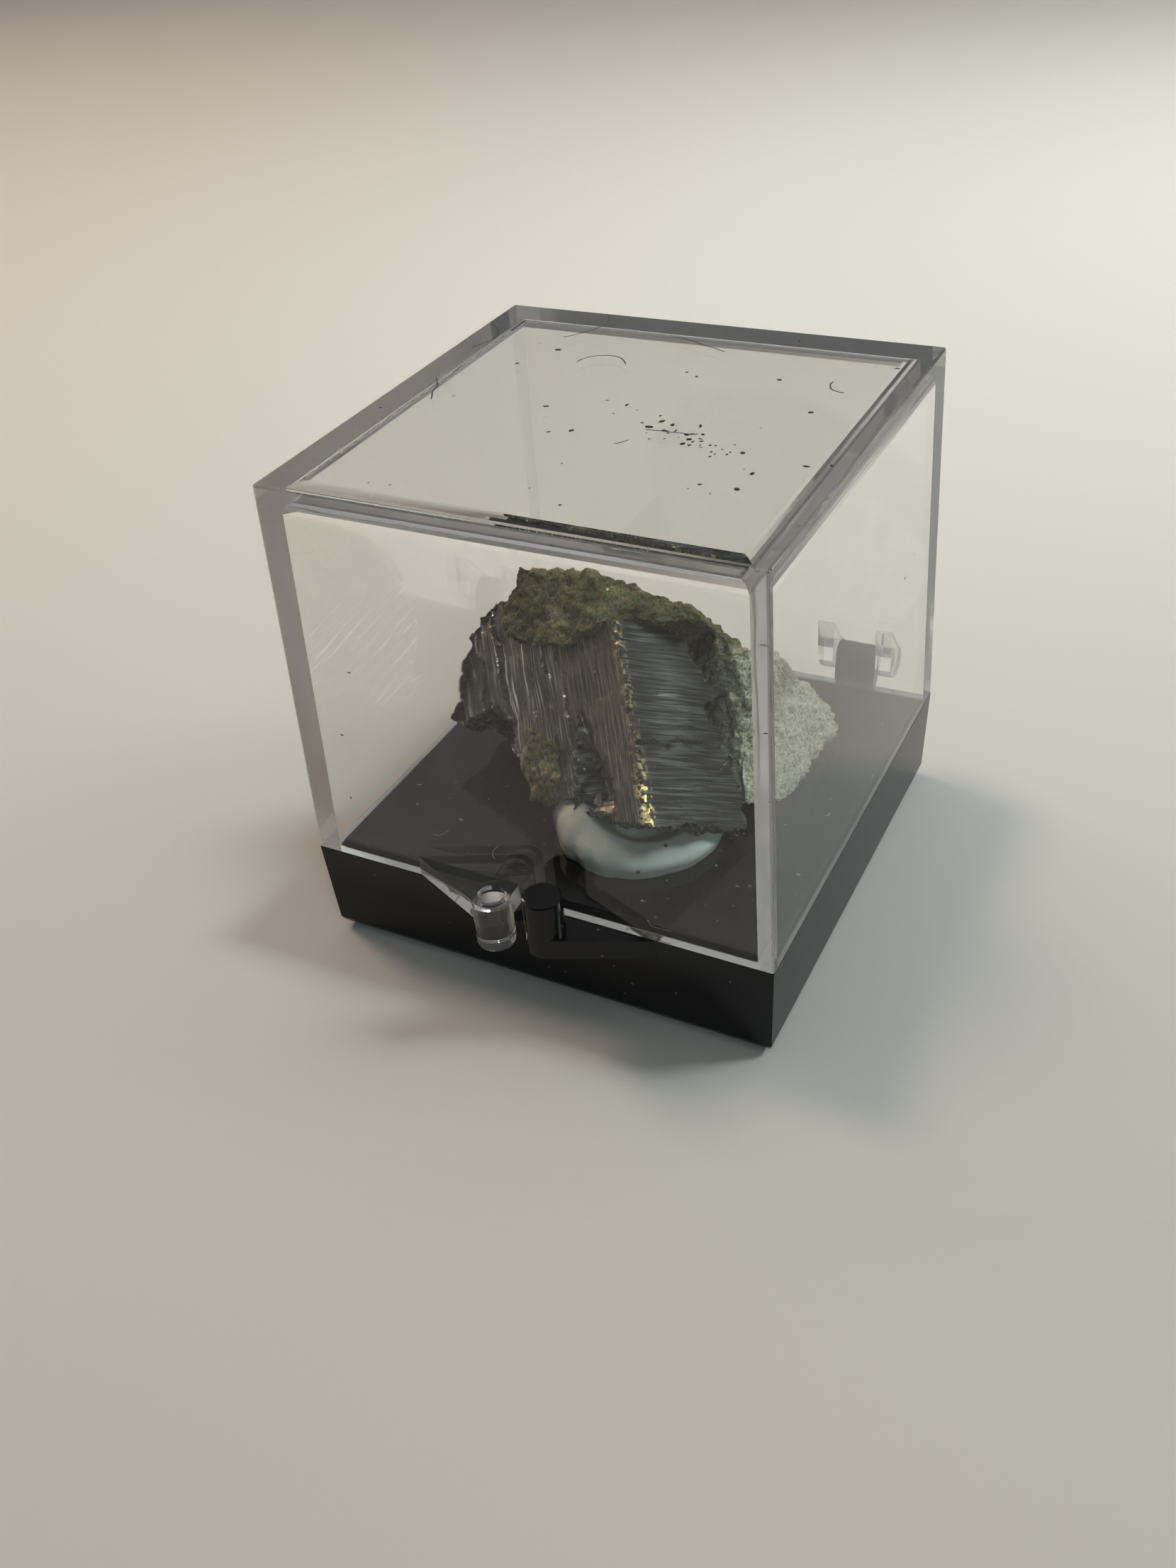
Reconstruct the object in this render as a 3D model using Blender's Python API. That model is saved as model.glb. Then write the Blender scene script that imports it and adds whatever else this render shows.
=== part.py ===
"""A small hinged display box with a mineral specimen in it: black base, clear lid, putty and a pyrite crystal.

Metres, +Z up. The origin is on the resting surface, under the middle of the box; the front faces -Y.
"""

import math

import bmesh
import bpy
from mathutils import Matrix, Vector, noise

MM = 0.001

# Driving dimensions, in millimetres
BOX_WIDTH = 32.0
BOX_DEPTH = 31.7
BASE_HEIGHT = 7.1
LID_HEIGHT = 25.9
LID_DRAFT = 0.56  # how far each lid wall leans in at the top
BASE_DRAFT = 0.25  # how far each base wall leans in at the bottom
LID_WALL = 1.2
LID_DRAFT_INSIDE = 0.66
LID_TOP = 1.2
LID_INNER_RADIUS = 0.75
LID_GAP = 0.06  # between the lid's lower edge and the base
EDGE = 0.15  # softening of the moulded edges

BASE_WALL = 1.6
BASE_FLOOR = 1.5
BASE_BOTTOM_RADIUS = 0.8
PLATEAU_HEIGHT = 0.5  # raised floor that centres the lid
PLATEAU_SIDE_GAP = 0.25
PLATEAU_REAR_GAP = 1.0  # more room behind, where the lid's rear wall swings forward

PEG_RADIUS = 1.25
PEG_FROM_WALL = 1.45  # peg centre, in front of the box
PEG_DISH_RADIUS = 0.85
PEG_DISH_DEPTH = 0.35
TAB_THICKNESS = 1.45
TAB_END_RADIUS = 1.18  # the tab's round end, just inside its peg
LID_PEG_X = -1.9
LID_TAB_TIP_X = -9.15
LID_PEG_DROP = 2.3
BASE_PEG_X = 1.75
BASE_TAB_TIP_X = 9.7
BASE_PEG_RISE = 2.65

HINGE_X = 9.15  # each hinge's middle, left and right
HINGE_BEHIND = 1.5  # pin axis, behind the box
HINGE_ABOVE = 1.45  # pin axis, above the base's top
LUG_WIDTH = 2.9
LUG_RADIUS = 1.0
LUG_FOOT = (-2.6, -0.1)  # the lug's foot on the base's rear wall, from its top
LUG_FRONT_GAP = 0.12  # between the lug and the lid's rear wall
EAR_THICKNESS = 1.2
EAR_RADIUS = 1.2
EAR_ROOT = (2.3, 5.4)  # the ear's root on the lid's rear wall, above the base's top
EAR_GAP = 0.15
PIN_RADIUS = 0.5
PIN_CLEARANCE = 0.08
PIN_LENGTH = 0.8

STONE_GAP = 0.3  # between the stone and the raised floor
ROCK_CUTS = 4  # how finely the matrix's surface is divided, and how rough it is
ROCK_ROUGHNESS = 0.7
ROCK_NOISE_SCALE = 0.45
# Corners of the stone, from the middle of the base's top. The crystal stands tilted on one corner: its left and
# right faces meet in an edge that runs from the ridge foot, low at the front, up and back to the ridge head.
RIDGE_FOOT = (6.4, -11.0, 5.0)
RIDGE_HEAD = (0.2, -2.0, 13.3)
CRYSTAL = (
    RIDGE_FOOT, RIDGE_HEAD,
    (10.4, -5.9, 1.3), (9.5, -3.6, 2.6), (2.9, 3.0, 11.0),  # right edge of the right face
    (-12.4, -3.0, 3.8), (-12.5, -0.8, 6.7), (-11.9, 0.4, 8.7), (-9.8, 1.1, 11.0),  # left edge of the left face
    (-3.6, -7.9, 2.8), (0.1, -9.3, 3.3),  # its broken lower edge
    (-8.0, 2.0, 3.0), (-4.0, 4.0, 9.0), (2.0, 4.0, 6.0), (6.0, 0.0, 1.8), (-2.0, -1.0, 1.8),  # inside the matrix
)
MATRIX_CAP = (
    (-8.6, 1.5, 13.5), (-2.8, 1.5, 14.1), (3.8, 1.6, 12.8),  # skyline
    (-9.3, 0.6, 10.8), (-7.6, -0.6, 10.2), (-3.2, -1.2, 11.9), (0.4, -1.4, 13.6), (4.4, 2.8, 11.2),
    (-8.0, 6.0, 8.0), (0.0, 7.0, 9.0), (4.0, 6.0, 9.0), (-2.0, 2.0, 6.0),
)
MATRIX_RIGHT = (
    (5.0, 4.0, 9.5), (8.3, 4.0, 7.3), (11.0, 5.5, 5.0), (11.3, 5.0, 2.8), (10.7, 7.0, 0.8), (10.2, -1.0, 0.8),
    (9.7, -3.0, 2.0), (7.2, 0.4, 5.8), (4.0, 9.0, 6.0), (5.0, 9.0, 0.8), (0.0, 8.0, 0.8), (0.0, 7.5, 8.0),
    (4.0, -2.0, 1.8),
)
MATRIX_LEFT = (
    (-10.0, 2.0, 9.6), (-11.2, 1.2, 5.0), (-9.0, 0.6, 2.6), (-6.0, -2.6, 2.2), (-3.0, -5.0, 1.8),
    (1.0, -6.0, 1.8), (-7.0, 6.0, 4.0), (-4.0, 7.0, 1.0), (1.0, 8.0, 0.8), (0.0, 8.0, 8.0), (-7.0, 5.0, 9.0),
)
MATRIX_LUMP = (
    (-5.6, -5.6, 4.2), (-4.9, -6.6, 3.2), (-3.4, -8.1, 2.4), (-1.2, -8.6, 2.9), (-1.6, -6.4, 6.4),
    (-3.0, -3.0, 2.6), (-1.0, -5.0, 2.0),
)
MATRIX = (("cap", MATRIX_CAP), ("right", MATRIX_RIGHT), ("left", MATRIX_LEFT), ("lump", MATRIX_LUMP))
PUTTY_MIDDLE = (3.8, -6.2)
PUTTY_RADII = (6.2, 4.9, 2.3)
PUTTY_LIP = 0.3  # height of its bulging edge
PUTTY_GAP = 0.05  # under it
PUTTY_SEAT_GROWTH = 0.9  # each corner of the seat stands this far outside the corner of stone that sits in it

FLOOR_Z = BASE_HEIGHT + PLATEAU_HEIGHT
FRONT_Y = -BOX_DEPTH / 2
REAR_Y = BOX_DEPTH / 2
HINGE_Y = REAR_Y + HINGE_BEHIND
HINGE_Z = BASE_HEIGHT + HINGE_ABOVE
ROUND_SEGMENTS = 40


def clear_scene():
    for obj in list(bpy.data.objects):
        bpy.data.objects.remove(obj, do_unlink=True)


def new_collection(name):
    collection = bpy.data.collections.new(name)
    bpy.context.scene.collection.children.link(collection)
    return collection


def material(name, colour, roughness, transmission=0.0, metallic=0.0):
    made = bpy.data.materials.new(name)
    made.use_nodes = True
    shader = made.node_tree.nodes["Principled BSDF"]
    shader.inputs["Base Color"].default_value = (*colour, 1.0)
    shader.inputs["Roughness"].default_value = roughness
    shader.inputs["Metallic"].default_value = metallic
    shader.inputs["Transmission Weight"].default_value = transmission
    return made


def add_mesh(name, bm, collection, matrix=Matrix.Identity(4)):
    """Makes an object of bm, whose sizes are in millimetres. matrix places it, also in millimetres."""
    bmesh.ops.recalc_face_normals(bm, faces=bm.faces)
    mesh = bpy.data.meshes.new(name)
    bm.to_mesh(mesh)
    bm.free()
    mesh.transform(Matrix.Scale(MM, 4) @ matrix)
    obj = bpy.data.objects.new(name, mesh)
    collection.objects.link(obj)
    return obj


def tool(obj):
    """Hides a solid that is only cut from, or joined to, a named piece."""
    obj.hide_render = True
    obj.display_type = "WIRE"
    return obj


def tapered_block(name, low, high, z_low, z_high, collection, y_shift=0.0):
    """A block whose lower face has sides low and whose upper face has sides high."""
    bm = bmesh.new()
    bmesh.ops.create_cube(bm, size=1.0)
    for vert in bm.verts:
        sides, z = (high, z_high) if vert.co.z > 0 else (low, z_low)
        vert.co = Vector((vert.co.x * sides[0], vert.co.y * sides[1] + y_shift, z))
    return add_mesh(name, bm, collection)


def cylinder(name, radius, length, middle, axis, collection):
    bm = bmesh.new()
    bmesh.ops.create_cone(
        bm, cap_ends=True, segments=ROUND_SEGMENTS, radius1=radius, radius2=radius, depth=length
    )
    turn = Vector((0, 0, 1)).rotation_difference(Vector(axis)).to_matrix().to_4x4()
    return add_mesh(name, bm, collection, Matrix.Translation(middle) @ turn)


def tangent_outline(root_a, root_b, centre, radius):
    """The outline of a plate from its root, two points in a line, to a round end it runs into without a corner."""
    centre = Vector(centre)
    ends = []
    for root, side in ((Vector(root_a), 1), (Vector(root_b), -1)):
        away = root - centre
        opening = math.acos(radius / away.length)
        ends.append(math.atan2(away.y, away.x) + side * opening)
    start, stop = ends
    if stop < start:
        stop += 2 * math.pi
    steps = ROUND_SEGMENTS // 2
    arc = [
        centre + radius * Vector((math.cos(a), math.sin(a)))
        for a in (start + (stop - start) * i / steps for i in range(steps + 1))
    ]
    return [Vector(root_a), *arc, Vector(root_b)]


def plate(name, outline, low, high, collection, matrix=Matrix.Identity(4)):
    """A flat plate with this outline, from low to high along its own Z, as a mesh that Booleans can use."""
    curve = bpy.data.curves.new(name, "CURVE")
    curve.dimensions = "2D"
    curve.fill_mode = "BOTH"
    curve.extrude = (high - low) / 2
    spline = curve.splines.new("POLY")
    spline.points.add(len(outline) - 1)
    for point, place in zip(spline.points, outline):
        point.co = (place.x, place.y, 0.0, 1.0)
    spline.use_cyclic_u = True
    drawn = bpy.data.objects.new(name + "_outline", curve)
    collection.objects.link(drawn)
    bpy.context.view_layer.update()
    flat = bpy.data.meshes.new_from_object(drawn.evaluated_get(bpy.context.evaluated_depsgraph_get()))
    bpy.data.objects.remove(drawn, do_unlink=True)
    bm = bmesh.new()
    bm.from_mesh(flat)
    bpy.data.meshes.remove(flat)
    bmesh.ops.remove_doubles(bm, verts=bm.verts, dist=0.001)
    return add_mesh(name, bm, collection, matrix @ Matrix.Translation((0, 0, (low + high) / 2)))


def across_x():
    """Turns a plate's own X, Y and Z into the part's Y, Z and X."""
    return Matrix(((0, 0, 1, 0), (1, 0, 0, 0), (0, 1, 0, 0), (0, 0, 0, 1)))


def boolean(obj, other, operation):
    made = obj.modifiers.new(f"{operation.lower()} {other.name}", "BOOLEAN")
    made.operation = operation
    made.object = tool(other)


def bevel_edges(obj, width, segments, chosen):
    """Rounds the edges that chosen accepts, given each edge's two ends in millimetres."""
    bm = bmesh.new()
    bm.from_mesh(obj.data)
    edges = [e for e in bm.edges if chosen(e.verts[0].co / MM, e.verts[1].co / MM)]
    bmesh.ops.bevel(
        bm, geom=edges, offset=width * MM, segments=segments, profile=0.5, affect="EDGES"
    )
    bm.to_mesh(obj.data)
    bm.free()


def both_at(z):
    return lambda a, b: abs(a.z - z) < 1e-3 and abs(b.z - z) < 1e-3


def finish(obj, made):
    obj.data.materials.append(made)
    obj.data.shade_smooth()
    obj.data.set_sharp_from_angle(angle=math.radians(30))


def make_base(parts, tools):
    """Black moulded base: hollow from below, raised floor on top, front tab with its peg, two rear lugs."""
    top = (BOX_WIDTH, BOX_DEPTH)
    foot = (BOX_WIDTH - 2 * BASE_DRAFT, BOX_DEPTH - 2 * BASE_DRAFT)
    base = tapered_block("base", foot, top, 0.0, BASE_HEIGHT, parts)
    bevel_edges(base, BASE_BOTTOM_RADIUS, 4, both_at(0.0))

    hollow = (foot[0] - 2 * BASE_WALL, foot[1] - 2 * BASE_WALL)
    underside = tapered_block("cut_underside", hollow, hollow, -1.0, BASE_HEIGHT - BASE_FLOOR, tools)
    bevel_edges(underside, BASE_BOTTOM_RADIUS, 2, both_at(BASE_HEIGHT - BASE_FLOOR))
    boolean(base, underside, "DIFFERENCE")

    side = LID_WALL + PLATEAU_SIDE_GAP
    width = BOX_WIDTH - 2 * side
    depth = BOX_DEPTH - 2 * side - PLATEAU_REAR_GAP
    floor = tapered_block(
        "add_raised_floor", (width, depth), (width, depth), BASE_HEIGHT - 0.5, FLOOR_Z, tools,
        y_shift=-PLATEAU_REAR_GAP / 2,
    )
    bevel_edges(floor, EDGE, 2, both_at(FLOOR_Z))
    boolean(base, floor, "UNION")

    peg_at = Vector((BASE_PEG_X, FRONT_Y - PEG_FROM_WALL))
    root = FRONT_Y + 0.5
    outline = tangent_outline(
        (peg_at.x - TAB_END_RADIUS, root), (BASE_TAB_TIP_X, root), peg_at, TAB_END_RADIUS
    )
    tab = plate("add_base_tab", outline, BASE_HEIGHT - TAB_THICKNESS, BASE_HEIGHT, tools)
    boolean(base, tab, "UNION")
    peg_low = BASE_HEIGHT - TAB_THICKNESS / 2
    peg_length = BASE_PEG_RISE + TAB_THICKNESS / 2
    peg = cylinder(
        "add_base_peg", PEG_RADIUS, peg_length, (peg_at.x, peg_at.y, peg_low + peg_length / 2),
        (0, 0, 1), tools,
    )
    bevel_edges(peg, EDGE, 2, both_at(BASE_HEIGHT + BASE_PEG_RISE))
    boolean(base, peg, "UNION")

    low, high = (BASE_HEIGHT + z for z in LUG_FOOT)
    inside = REAR_Y - 0.6
    outline = tangent_outline((inside, low), (REAR_Y + LUG_FRONT_GAP, high), (HINGE_Y, HINGE_Z), LUG_RADIUS)
    outline.append(Vector((inside, high)))
    for side, name in ((-1, "left"), (1, "right")):
        middle = side * HINGE_X
        lug = plate(
            f"add_lug_{name}", outline, middle - LUG_WIDTH / 2, middle + LUG_WIDTH / 2, tools,
            across_x(),
        )
        boolean(base, lug, "UNION")
    for side, name in ((-1, "left"), (1, "right")):
        bore = cylinder(
            f"cut_lug_bore_{name}", PIN_RADIUS + PIN_CLEARANCE, LUG_WIDTH + 1.0,
            (side * HINGE_X, HINGE_Y, HINGE_Z), (1, 0, 0), tools,
        )
        boolean(base, bore, "DIFFERENCE")
    finish(base, material("black_polystyrene", (0.012, 0.012, 0.013), 0.28))


def make_lid(parts, tools):
    """Clear moulded lid: five walls, front tab with a peg that hangs down, two pairs of hinge ears."""
    low = BASE_HEIGHT + LID_GAP
    top = BASE_HEIGHT + LID_HEIGHT
    outer = (BOX_WIDTH, BOX_DEPTH)
    lid = tapered_block("lid", outer, tuple(s - 2 * LID_DRAFT for s in outer), low, top, parts)
    bevel_edges(lid, EDGE, 2, lambda a, b: max(a.z, b.z) > top - 1e-3)

    mouth = tuple(s - 2 * LID_WALL for s in outer)
    roof = tuple(s - 2 * LID_DRAFT_INSIDE for s in mouth)
    cavity = tapered_block("cut_cavity", mouth, roof, low, top - LID_TOP, tools)
    for vert in cavity.data.vertices:
        if vert.co.z < (low + 1.0) * MM:
            vert.co.z -= 1.0 * MM
    bevel_edges(cavity, LID_INNER_RADIUS, 4, both_at(top - LID_TOP))
    boolean(lid, cavity, "DIFFERENCE")

    peg_at = Vector((LID_PEG_X, FRONT_Y - PEG_FROM_WALL))
    root = FRONT_Y + 0.5
    outline = tangent_outline(
        (LID_TAB_TIP_X, root), (peg_at.x + TAB_END_RADIUS, root), peg_at, TAB_END_RADIUS
    )
    tab = plate("add_lid_tab", outline, low, low + TAB_THICKNESS, tools)
    boolean(lid, tab, "UNION")
    peg_high = low + TAB_THICKNESS
    peg_length = peg_high - (BASE_HEIGHT - LID_PEG_DROP)
    peg = cylinder(
        "add_lid_peg", PEG_RADIUS, peg_length, (peg_at.x, peg_at.y, peg_high - peg_length / 2 + 0.02),
        (0, 0, 1), tools,
    )
    bevel_edges(peg, 2 * EDGE, 3, both_at(BASE_HEIGHT - LID_PEG_DROP + 0.02))
    boolean(lid, peg, "UNION")
    dish = cylinder(
        "cut_peg_dish", PEG_DISH_RADIUS, 2 * PEG_DISH_DEPTH, (peg_at.x, peg_at.y, peg_high + 0.02),
        (0, 0, 1), tools,
    )
    boolean(lid, dish, "DIFFERENCE")

    root_low, root_high = (BASE_HEIGHT + z for z in EAR_ROOT)
    outline = tangent_outline(
        (REAR_Y - 0.6, root_low), (REAR_Y - 0.6, root_high), (HINGE_Y, HINGE_Z), EAR_RADIUS
    )
    inner = LUG_WIDTH / 2 + EAR_GAP
    for side, name in ((-1, "left"), (1, "right")):
        for turn, which in ((-1, "inner"), (1, "outer")):
            near = side * HINGE_X + turn * inner
            far = near + turn * EAR_THICKNESS
            ear = plate(
                f"add_ear_{name}_{which}", outline, min(near, far), max(near, far), tools, across_x()
            )
            boolean(lid, ear, "UNION")
            pin_root = near + turn * EAR_THICKNESS / 2
            pin_tip = near - turn * PIN_LENGTH
            pin = cylinder(
                f"add_pin_{name}_{which}", PIN_RADIUS, abs(pin_root - pin_tip),
                ((pin_root + pin_tip) / 2, HINGE_Y, HINGE_Z), (1, 0, 0), tools,
            )
            boolean(lid, pin, "UNION")
    finish(lid, material("clear_polystyrene", (1.0, 1.0, 1.0), 0.03, transmission=1.0))


def hull(name, corners, collection, cuts=0, depth=0.0):
    """The block of rock that these corners span, cut finer and roughened by smooth noise."""
    bm = bmesh.new()
    for corner in corners:
        bm.verts.new(Vector(corner) + Vector((0, 0, BASE_HEIGHT)))
    made = bmesh.ops.convex_hull(bm, input=bm.verts)
    bmesh.ops.delete(bm, geom=list({*made["geom_interior"], *made["geom_unused"]}), context="VERTS")
    bmesh.ops.triangulate(bm, faces=bm.faces)
    if cuts:
        bmesh.ops.subdivide_edges(bm, edges=bm.edges, cuts=cuts, use_grid_fill=True)
        bmesh.ops.recalc_face_normals(bm, faces=bm.faces)
        bm.normal_update()
        for vert in bm.verts:
            vert.co += vert.normal * depth * noise.noise(vert.co * ROCK_NOISE_SCALE)
    for vert in bm.verts:
        vert.co.z = max(vert.co.z, FLOOR_Z + STONE_GAP)
    return add_mesh(name, bm, collection)


def make_specimen(parts, tools):
    """Pyrite crystal grown in its matrix, one natural piece: a tilted block with rough rock above and behind."""
    specimen = hull("pyrite_specimen", CRYSTAL, parts)
    for name, corners in MATRIX:
        boolean(specimen, hull(f"add_matrix_{name}", corners, tools, cuts=ROCK_CUTS, depth=ROCK_ROUGHNESS), "UNION")
    finish(specimen, material("pyrite_and_matrix", (0.16, 0.15, 0.13), 0.5))


def make_putty(parts, tools):
    """A blob of mineral putty pressed under the crystal's front corner, dished where the stone sits in it."""
    bm = bmesh.new()
    bmesh.ops.create_uvsphere(bm, u_segments=48, v_segments=24, radius=1.0)
    low = FLOOR_Z + PUTTY_GAP
    for vert in bm.verts:
        x, y, z = (radius * along for radius, along in zip(PUTTY_RADII, vert.co))
        vert.co = Vector((PUTTY_MIDDLE[0] + x, PUTTY_MIDDLE[1] + y, low + max(0.0, PUTTY_LIP + z)))
    bmesh.ops.remove_doubles(bm, verts=bm.verts, dist=1e-4)
    putty = add_mesh("mineral_putty", bm, parts)
    for name, corners in (("crystal", CRYSTAL), *MATRIX):
        seat = hull(f"cut_putty_{name}", corners, tools)
        middle = sum((vert.co for vert in seat.data.vertices), Vector()) / len(seat.data.vertices)
        for vert in seat.data.vertices:
            outward = (vert.co - middle).normalized()
            vert.co += outward * PUTTY_SEAT_GROWTH * MM
        boolean(putty, seat, "DIFFERENCE")
    finish(putty, material("white_putty", (0.72, 0.76, 0.72), 0.6))


clear_scene()
PARTS = new_collection("pyrite_display_box")
TOOLS = new_collection("tools")
make_base(PARTS, TOOLS)
make_lid(PARTS, TOOLS)
make_specimen(PARTS, TOOLS)
make_putty(PARTS, TOOLS)
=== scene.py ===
"""Looks of a thumbnail mineral box: a pyrite crystal in its matrix, set in white putty on a black base
under a clear hinged lid. Metres, +Z up, the front faces -Y. MM turns millimetres into metres."""

import math
import random

import bmesh
import bpy
import numpy as np
from mathutils import Matrix, Vector, noise


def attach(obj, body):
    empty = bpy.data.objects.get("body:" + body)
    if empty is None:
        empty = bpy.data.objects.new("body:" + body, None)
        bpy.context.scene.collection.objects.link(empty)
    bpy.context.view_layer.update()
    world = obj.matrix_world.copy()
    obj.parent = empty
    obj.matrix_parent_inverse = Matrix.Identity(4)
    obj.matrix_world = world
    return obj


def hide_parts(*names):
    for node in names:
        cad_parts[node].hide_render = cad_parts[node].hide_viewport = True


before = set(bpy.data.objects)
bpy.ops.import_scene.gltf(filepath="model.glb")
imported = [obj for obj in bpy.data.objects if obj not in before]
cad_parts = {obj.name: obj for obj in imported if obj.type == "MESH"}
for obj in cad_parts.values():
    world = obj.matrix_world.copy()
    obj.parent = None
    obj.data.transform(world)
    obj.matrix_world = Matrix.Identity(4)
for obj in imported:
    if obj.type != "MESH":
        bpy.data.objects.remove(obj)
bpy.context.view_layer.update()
MM = 0.001


# ---------------------------------------------------------------- black base
# The base is one injection moulding in black polystyrene: glossy flats that show fine lint and hairline
# scuffs, with the front tab, its upright peg and the two hinge lugs moulded in one with it.

RAISED_FLOOR_Z = 7.6 * MM

# Sockets of a colour Mix node: its factor, its two colours, and the colour it gives
FACTOR, FIRST, SECOND, MIXED = 0, 6, 7, 2


def new_material(name):
    """A new material, with its nodes, its links and its Principled shader."""
    made = bpy.data.materials.new(name)
    made.use_nodes = True
    nodes = made.node_tree.nodes
    return made, nodes, made.node_tree.links, nodes["Principled BSDF"]


def add_node(nodes, kind, **settings):
    """A node of this kind. Settings that it has as properties are set there, all others on its inputs."""
    node = nodes.new(kind)
    for name, value in settings.items():
        if hasattr(node, name):
            setattr(node, name, value)
        else:
            node.inputs[name.replace("_", " ")].default_value = value
    return node


def ramp(nodes, stops):
    """A colour ramp with these (position, colour) stops; a plain number stands for that grey."""
    node = nodes.new("ShaderNodeValToRGB")
    for index, (position, colour) in enumerate(stops):
        if not isinstance(colour, tuple):
            colour = (colour, colour, colour)
        slot = node.color_ramp.elements
        stop = slot[index] if index < 2 else slot.new(position)
        stop.position = position
        stop.color = (*colour, 1.0)
    return node


SPECK_REACH = 0.17  # how far a speck spreads from its middle, as a share of Size


def make_speck_group():
    """Mask of scattered dust: specks about Size apart, in metres. Amount is the share of them that show."""
    group = bpy.data.node_groups.new("dust specks", "ShaderNodeTree")
    for name in ("Size", "Amount"):
        group.interface.new_socket(name, in_out="INPUT", socket_type="NodeSocketFloat")
    group.interface.new_socket("Mask", in_out="OUTPUT", socket_type="NodeSocketFloat")
    nodes, links = group.nodes, group.links
    given = nodes.new("NodeGroupInput")
    out = nodes.new("NodeGroupOutput")
    place = nodes.new("ShaderNodeTexCoord")
    scale = add_node(nodes, "ShaderNodeMath", operation="DIVIDE")
    scale.inputs[0].default_value = 1.0
    cells = add_node(nodes, "ShaderNodeTexVoronoi", feature="F1")
    chance = nodes.new("ShaderNodeSeparateColor")
    chosen = add_node(nodes, "ShaderNodeMath", operation="LESS_THAN")
    near = add_node(nodes, "ShaderNodeMath", operation="LESS_THAN")
    near.inputs[1].default_value = SPECK_REACH
    mask = add_node(nodes, "ShaderNodeMath", operation="MULTIPLY")
    links.new(given.outputs["Size"], scale.inputs[1])
    links.new(place.outputs["Object"], cells.inputs["Vector"])
    links.new(scale.outputs[0], cells.inputs["Scale"])
    links.new(cells.outputs["Color"], chance.inputs[0])
    links.new(chance.outputs[0], chosen.inputs[0])
    links.new(given.outputs["Amount"], chosen.inputs[1])
    links.new(cells.outputs["Distance"], near.inputs[0])
    links.new(chosen.outputs[0], mask.inputs[0])
    links.new(near.outputs[0], mask.inputs[1])
    links.new(mask.outputs[0], out.inputs["Mask"])
    return group


dust_specks = make_speck_group()


def black_plastic():
    made, nodes, links, shader = new_material("black moulded polystyrene")
    place = nodes.new("ShaderNodeTexCoord")
    haze = add_node(nodes, "ShaderNodeTexNoise", Scale=260.0, Detail=5.0)
    gloss = ramp(nodes, ((0.35, 0.06), (0.7, 0.14)))
    grain = add_node(nodes, "ShaderNodeTexNoise", Scale=2600.0, Detail=2.0)
    bump = add_node(nodes, "ShaderNodeBump", Strength=0.05, Distance=0.00005)
    specks = add_node(nodes, "ShaderNodeGroup", node_tree=dust_specks, Size=0.6 * MM, Amount=0.07)
    colour = add_node(nodes, "ShaderNodeMix", data_type="RGBA")
    colour.inputs[FIRST].default_value = (0.0095, 0.0095, 0.0105, 1.0)
    colour.inputs[SECOND].default_value = (0.11, 0.11, 0.1, 1.0)
    links.new(place.outputs["Object"], haze.inputs["Vector"])
    links.new(place.outputs["Object"], grain.inputs["Vector"])
    links.new(haze.outputs["Fac"], gloss.inputs[0])
    links.new(gloss.outputs[0], shader.inputs["Roughness"])
    links.new(grain.outputs["Fac"], bump.inputs["Height"])
    links.new(bump.outputs[0], shader.inputs["Normal"])
    links.new(specks.outputs[0], colour.inputs[FACTOR])
    links.new(colour.outputs[MIXED], shader.inputs["Base Color"])
    return made


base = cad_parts["base"]
base.data.materials.clear()
base.data.materials.append(black_plastic())


# ---------------------------------------------------------------- white putty
# A thumb-pressed blob of white mineral putty. It was rolled soft, pushed down on the floor and squeezed out
# to the front by the stone, so it has a rounded lip, soft folds at its left end and a thin right tip.

PUTTY_MIDDLE = Vector((3.3, -6.3, 0.0)) * MM
PUTTY_RADII = Vector((5.7, 5.3, 2.5)) * MM
PUTTY_DENT = (0.35, 0.65)  # shares of the radius where the pressed middle ends and the lip is full
LIFT = 0.03 * MM  # keeps what lies on the floor from cutting into it


def select_only(*objects):
    """Selects just these objects for the next operator, and makes the first one active."""
    bpy.ops.object.select_all(action="DESELECT")
    for obj in objects:
        obj.select_set(True)
    bpy.context.view_layer.objects.active = objects[0]


def apply_modifier(obj, kind, **settings):
    modifier = obj.modifiers.new(kind.lower(), kind)
    for name, value in settings.items():
        setattr(modifier, name, value)
    select_only(obj)
    bpy.ops.object.modifier_apply(modifier=modifier.name)


def soft_shade(obj, degrees=180):
    select_only(obj)
    bpy.ops.object.shade_smooth_by_angle(angle=math.radians(degrees))


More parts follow.
